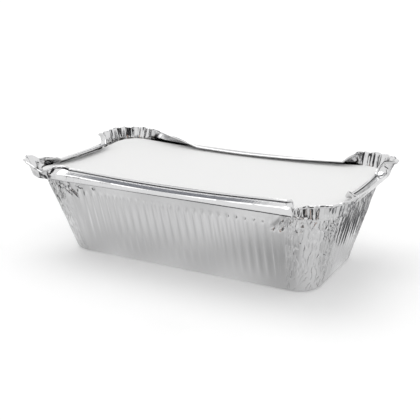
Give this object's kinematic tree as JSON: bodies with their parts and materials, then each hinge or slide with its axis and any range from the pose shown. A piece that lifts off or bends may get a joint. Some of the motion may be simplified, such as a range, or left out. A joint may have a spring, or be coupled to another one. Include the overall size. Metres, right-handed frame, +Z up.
{
  "type": "foil food container",
  "caption": "Oblong aluminium foil takeaway tray with ribbed sloping walls, closed by a white board lid under its folded-over rim.",
  "frame": {"origin": "centre of the flat base, on the surface that the container stands on", "axes": "+X along the length, +Y across to the back, +Z up towards the lid"},
  "size_m": [0.213, 0.1261, 0.0628],
  "materials": {
    "foil": "bright rolled foil with fine creases",
    "lid_board": null
  },
  "bodies": {
    "root": {"foil_tray": "foil", "board_lid": "lid_board"}
  },
  "joints": []
}
